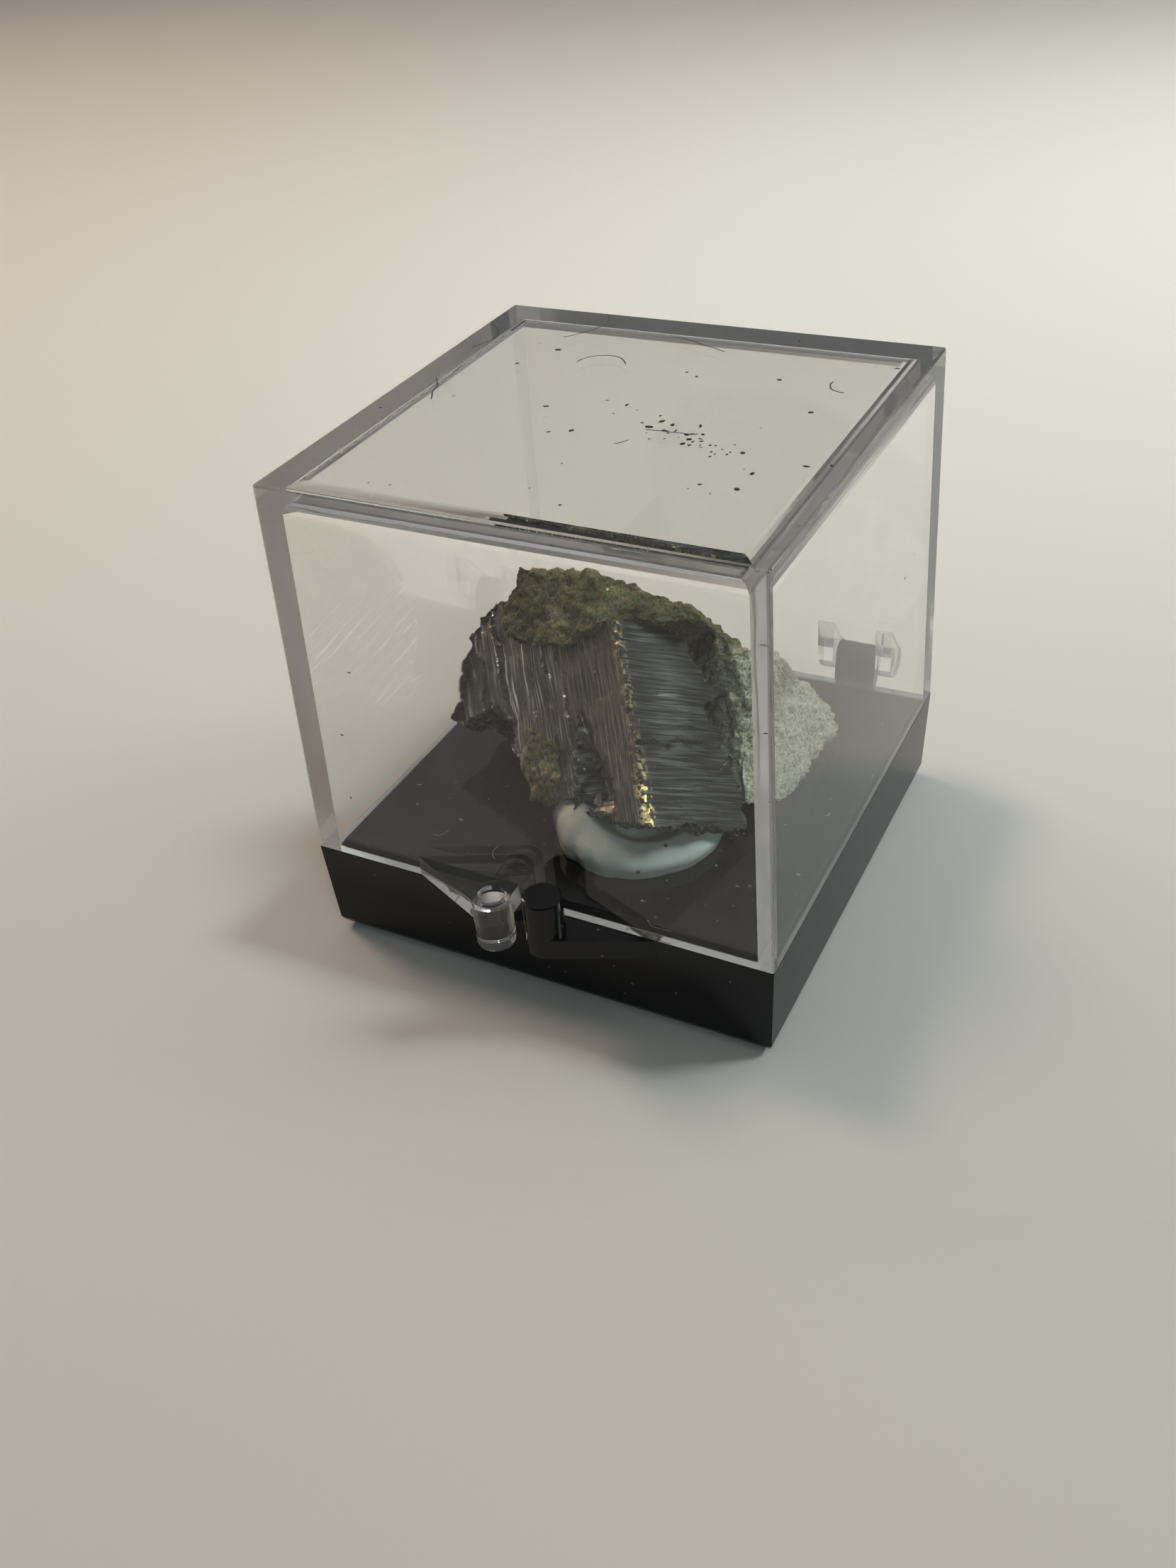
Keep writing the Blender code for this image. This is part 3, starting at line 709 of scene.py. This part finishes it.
def clear_plastic():
    """Clear plastic that casts only a faint shadow and looks slightly milky at its thick edges."""
    made, nodes, links, shader = new_material("clear moulded polystyrene")
    shader.inputs["Base Color"].default_value = (0.985, 0.985, 0.975, 1.0)
    shader.inputs["Transmission Weight"].default_value = 1.0
    shader.inputs["IOR"].default_value = 1.59
    place = nodes.new("ShaderNodeTexCoord")
    wave = add_node(nodes, "ShaderNodeTexNoise", Scale=160.0, Detail=1.0)
    bump = add_node(nodes, "ShaderNodeBump", Strength=0.05, Distance=0.0002)
    smears = add_node(nodes, "ShaderNodeTexNoise", Scale=90.0, Detail=5.0)
    gloss = ramp(nodes, ((0.5, 0.0), (0.8, 0.08)))
    for texture in (wave, smears):
        links.new(place.outputs["Object"], texture.inputs["Vector"])
    links.new(wave.outputs["Fac"], bump.inputs["Height"])
    links.new(bump.outputs[0], shader.inputs["Normal"])
    links.new(smears.outputs["Fac"], gloss.inputs[0])
    links.new(gloss.outputs[0], shader.inputs["Roughness"])
    through = nodes.new("ShaderNodeBsdfTransparent")
    through.inputs[0].default_value = (0.96, 0.965, 0.965, 1.0)
    path = nodes.new("ShaderNodeLightPath")
    side = nodes.new("ShaderNodeNewGeometry")
    trapped = add_node(nodes, "ShaderNodeMath", operation="MULTIPLY")
    share = add_node(nodes, "ShaderNodeMath", operation="MULTIPLY")
    share.inputs[1].default_value = EDGE_HAZE
    milk = nodes.new("ShaderNodeBsdfDiffuse")
    milk.inputs[0].default_value = (0.9, 0.9, 0.9, 1.0)
    hazed = nodes.new("ShaderNodeMixShader")
    mix = nodes.new("ShaderNodeMixShader")
    links.new(path.outputs["Is Reflection Ray"], trapped.inputs[0])
    links.new(side.outputs["Backfacing"], trapped.inputs[1])
    links.new(trapped.outputs[0], share.inputs[0])
    links.new(share.outputs[0], hazed.inputs[0])
    links.new(shader.outputs[0], hazed.inputs[1])
    links.new(milk.outputs[0], hazed.inputs[2])
    links.new(path.outputs["Is Shadow Ray"], mix.inputs[0])
    links.new(hazed.outputs[0], mix.inputs[1])
    links.new(through.outputs[0], mix.inputs[2])
    links.new(mix.outputs[0], nodes["Material Output"].inputs["Surface"])
    return made


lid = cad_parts["lid"]
lid.data.materials.clear()
lid.data.materials.append(clear_plastic())


# ---------------------------------------------------------------- dust and lint on the lid
# Household dust that clings to the statically charged plastic: dark specks and a few fine curled fibres on
# the top and the walls. It lies on the surfaces, loosely, and moves with the lid.

# Places in millimetres. Dust and threads lie just under the surface, so that none stand out past the lid.
LID_TOP_Z = 32.94
LID_WALL = 15.35  # how far from the middle the specks in the front and right walls are
LID_FIBRES = (
    ((-9.0, 10.4), 40.0, 5.5, 95.0), ((-6.0, 6.6), 95.0, 4.5, -150.0), ((-1.8, 12.3), 5.0, 4.5, -35.0),
    ((-14.1, 7.0), 70.0, 5.0, 60.0), ((-13.6, 1.6), -50.0, 3.5, 40.0), ((10.6, 8.0), 250.0, 2.2, 120.0),
    ((2.7, -1.8), 15.0, 3.2, 40.0), ((1.8, -4.1), 30.0, 0.9, 20.0),
)  # start, heading in degrees, length, bend in degrees
SMEAR_MIDDLE = (5.6, -2.2)
LID_SPECKS, SMEAR_SPECKS, FRONT_SPECKS, RIGHT_SPECKS = 34, 46, 16, 12
FIBRE_STEPS = 24
FIBRE_CURL = 0.09


def flat_material(name, colour, roughness):
    """Plain dust or thread, with a little unevenness in its tone."""
    made, nodes, links, shader = new_material(name)
    place = nodes.new("ShaderNodeTexCoord")
    tone = add_node(nodes, "ShaderNodeTexNoise", Scale=1200.0, Detail=2.0)
    shade = ramp(nodes, ((0.3, tuple(0.6 * c for c in colour)), (0.7, colour)))
    links.new(place.outputs["Object"], tone.inputs["Vector"])
    links.new(tone.outputs["Fac"], shade.inputs[0])
    links.new(shade.outputs[0], shader.inputs["Base Color"])
    shader.inputs["Roughness"].default_value = roughness
    return made


def make_specks(name, places, smallest, largest, draw):
    """Small irregular grains at these places, in millimetres."""
    bm = bmesh.new()
    for place in places:
        radius = smallest + (largest - smallest) * draw.random() ** 2
        shape = Matrix.Diagonal((draw.uniform(0.6, 1.7), draw.uniform(0.6, 1.2), 0.25, 1.0))
        turn = Matrix.Rotation(draw.uniform(0, math.tau), 4, "Z")
        where = Matrix.Translation(Vector(place) * MM) @ turn @ shape
        bmesh.ops.create_icosphere(bm, subdivisions=1, radius=radius * MM, matrix=where)
    return mesh_object(name, bm)


def make_fibres(name, fibres, height, radius, draw):
    """Fine curled threads that lie flat at this height. Each has a start, a heading, a length and a bend."""
    curve = bpy.data.curves.new(name, "CURVE")
    curve.dimensions = "3D"
    curve.bevel_depth = radius * MM
    curve.bevel_resolution = 1
    for (x, y), heading, length, bend in fibres:
        spline = curve.splines.new("POLY")
        spline.points.add(FIBRE_STEPS)
        angle = math.radians(heading)
        for point in spline.points:
            point.co = (x * MM, y * MM, height * MM, 1.0)
            x += math.cos(angle) * length / FIBRE_STEPS
            y += math.sin(angle) * length / FIBRE_STEPS
            angle += math.radians(bend) / FIBRE_STEPS + draw.gauss(0.0, FIBRE_CURL)
    obj = bpy.data.objects.new(name, curve)
    bpy.context.scene.collection.objects.link(obj)
    select_only(obj)
    bpy.ops.object.convert(target="MESH")
    return bpy.context.active_object


draw = random.Random(21)
lid_places = [(draw.uniform(-14.5, 14.5), draw.uniform(-14.0, 14.0), LID_TOP_Z) for _ in range(LID_SPECKS)]
for _ in range(SMEAR_SPECKS):
    along, across = draw.gauss(0.0, 2.2), draw.gauss(0.0, 0.7)
    lid_places.append((SMEAR_MIDDLE[0] + along, SMEAR_MIDDLE[1] - 0.4 * along + across, LID_TOP_Z))
for _ in range(FRONT_SPECKS):
    lid_places.append((draw.uniform(-13, 13), -LID_WALL - draw.uniform(0.0, 0.05), draw.uniform(11, 24)))
for _ in range(RIGHT_SPECKS):
    lid_places.append((LID_WALL, draw.uniform(-13, 13), draw.uniform(11, 24)))
lid_dust = make_specks("lid_dust", lid_places, 0.06, 0.2, draw)
lid_dust.data.materials.append(flat_material("dark dust", (0.05, 0.045, 0.04), 0.8))
lid_lint = make_fibres("lid_lint", LID_FIBRES, LID_TOP_Z, 0.045, draw)
lid_lint.data.materials.append(flat_material("grey lint", (0.16, 0.15, 0.14), 0.7))
for piece in (lid_dust, lid_lint):
    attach(piece, "lid")


# ---------------------------------------------------------------- dust and lint on the base
# Pale grains and a few threads of lint on the glossy black floor, where they show up most. Some are crumbs of
# the rock's own matrix. They lie loose and stay with the base.

# Places in millimetres
floor_z = RAISED_FLOOR_Z / MM
CRUMB_Z, GRAIN_Z, LINT_Z = floor_z + 0.05, floor_z + 0.03, floor_z + 0.06
CRUMBS = ((-11.9, -9.4), (-8.0, -9.8), (-9.0, -11.9), (11.8, -11.1))
GRAINS = 70
FLOOR_FIBRES = (
    ((7.5, -14.2), 320.0, 1.9, 50.0), ((-9.0, -11.9), 15.0, 1.2, 90.0),
    ((-4.0, -12.6), 150.0, 1.5, -70.0),
)
floor_places = [(x, y, CRUMB_Z) for x, y in CRUMBS]
for _ in range(GRAINS):
    floor_places.append((draw.uniform(-14.0, 14.0), draw.uniform(-14.0, 11.0), GRAIN_Z))
floor_dust = make_specks("floor_dust", floor_places, 0.04, 0.15, draw)
floor_dust.data.materials.append(flat_material("pale dust", (0.42, 0.41, 0.36), 0.8))
floor_lint = make_fibres("floor_lint", FLOOR_FIBRES, LINT_Z, 0.025, draw)
floor_lint.data.materials.append(flat_material("pale lint", (0.38, 0.37, 0.34), 0.7))
for piece in (floor_dust, floor_lint):
    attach(piece, "body")


# ---------------------------------------------------------------- table, light and camera
# A plain pale sheet. A warm soft light stands on the left, a cooler one behind on the right and a weak cool
# one in front on the right. The room's own light comes from above and behind.

def paper():
    made, nodes, links, shader = new_material("pale paper")
    shader.inputs["Base Color"].default_value = (0.72, 0.70, 0.655, 1.0)
    shader.inputs["Roughness"].default_value = 0.9
    place = nodes.new("ShaderNodeTexCoord")
    fibre = add_node(nodes, "ShaderNodeTexNoise", Scale=900.0, Detail=4.0)
    bump = add_node(nodes, "ShaderNodeBump", Strength=0.08, Distance=0.0002)
    links.new(place.outputs["Object"], fibre.inputs["Vector"])
    links.new(fibre.outputs["Fac"], bump.inputs["Height"])
    links.new(bump.outputs[0], shader.inputs["Normal"])
    return made


bpy.ops.mesh.primitive_plane_add(size=6.0, location=(0, 0, 0))
table = bpy.context.active_object
table.name = "table"
table.data.materials.append(paper())


def soft_light(name, place, target, size, spread, power, colour):
    """A round lamp of this size that shines on the target, within a cone of spread degrees."""
    light = bpy.data.lights.new(name, "AREA")
    light.spread = math.radians(spread)
    light.shape = "DISK"
    light.size = size
    light.energy = power
    light.color = colour
    obj = bpy.data.objects.new(name, light)
    bpy.context.scene.collection.objects.link(obj)
    obj.location = place
    obj.rotation_euler = (Vector(target) - Vector(place)).to_track_quat("-Z", "Y").to_euler()


soft_light(
    "warm_light", place=(-0.5, 0.14, 0.42), target=(0, 0, 0.01),
    size=0.2, spread=120, power=0.58, colour=(1.0, 0.77, 0.585),
)
soft_light(
    "cool_light", place=(0.5, 0.36, 0.5), target=(0.06, 0.18, 0),
    size=0.25, spread=38, power=0.27, colour=(0.88, 0.98, 1.0),
)
soft_light(
    "front_light", place=(0.3, -0.3, 0.26), target=(0.01, -0.01, 0.01),
    size=0.12, spread=24, power=0.009, colour=(0.8, 0.95, 1.0),
)


def make_room():
    """The room's light: pale ceiling, dim walls, darkest on the side where the viewer stands."""
    world = bpy.data.worlds.new("room")
    bpy.context.scene.world = world
    world.use_nodes = True
    nodes, links = world.node_tree.nodes, world.node_tree.links
    place = nodes.new("ShaderNodeTexCoord")
    split = nodes.new("ShaderNodeSeparateXYZ")
    by_height = ramp(nodes, (
        (0.0, 0.3), (0.35, (0.24, 0.235, 0.23)), (0.7, 0.4), (1.0, (0.85, 0.87, 0.88)),
    ))
    links.new(place.outputs["Generated"], split.inputs[0])
    links.new(split.outputs["Z"], by_height.inputs[0])
    by_side = map_range(nodes, -0.5, 0.3, 0.3, 1.0)
    dimmed = add_node(nodes, "ShaderNodeVectorMath", operation="SCALE")
    links.new(split.outputs["Y"], by_side.inputs["Value"])
    links.new(by_height.outputs[0], dimmed.inputs[0])
    links.new(by_side.outputs[0], dimmed.inputs["Scale"])
    links.new(dimmed.outputs[0], nodes["Background"].inputs["Color"])
    nodes["Background"].inputs["Strength"].default_value = 0.85


make_room()
view = bpy.context.scene.view_settings
view.view_transform = "Standard"
view.gamma = 0.8
view.exposure = 0.22

# Light crosses the lid's thick edges many times before it comes out. What the lid lets through already
# counts as its shadow, so it isn't counted again as caustics.
rays = bpy.context.scene.cycles
rays.caustics_reflective = False
rays.caustics_refractive = False
for bounces in ("max_bounces", "glossy_bounces", "transmission_bounces"):
    setattr(rays, bounces, 32)

CAMERA_PLACE = (0.03786, -0.07363, 0.06713)
CAMERA_RIGHT = (0.891, 0.448, -0.0724)
CAMERA_UP = (-0.2162, 0.559, 0.8007)
CAMERA_BACK = (0.399, -0.698, 0.595)
camera_data = bpy.data.cameras.new("camera")
camera_data.lens = 33.69
camera_data.sensor_width = 36.0
camera_data.clip_start = 0.002
camera_data.clip_end = 20.0
camera = bpy.data.objects.new("camera", camera_data)
bpy.context.scene.collection.objects.link(camera)
axes = Matrix((CAMERA_RIGHT, CAMERA_UP, CAMERA_BACK)).transposed().normalized()
camera.matrix_world = Matrix.Translation(CAMERA_PLACE) @ axes.to_4x4()
bpy.context.scene.camera = camera
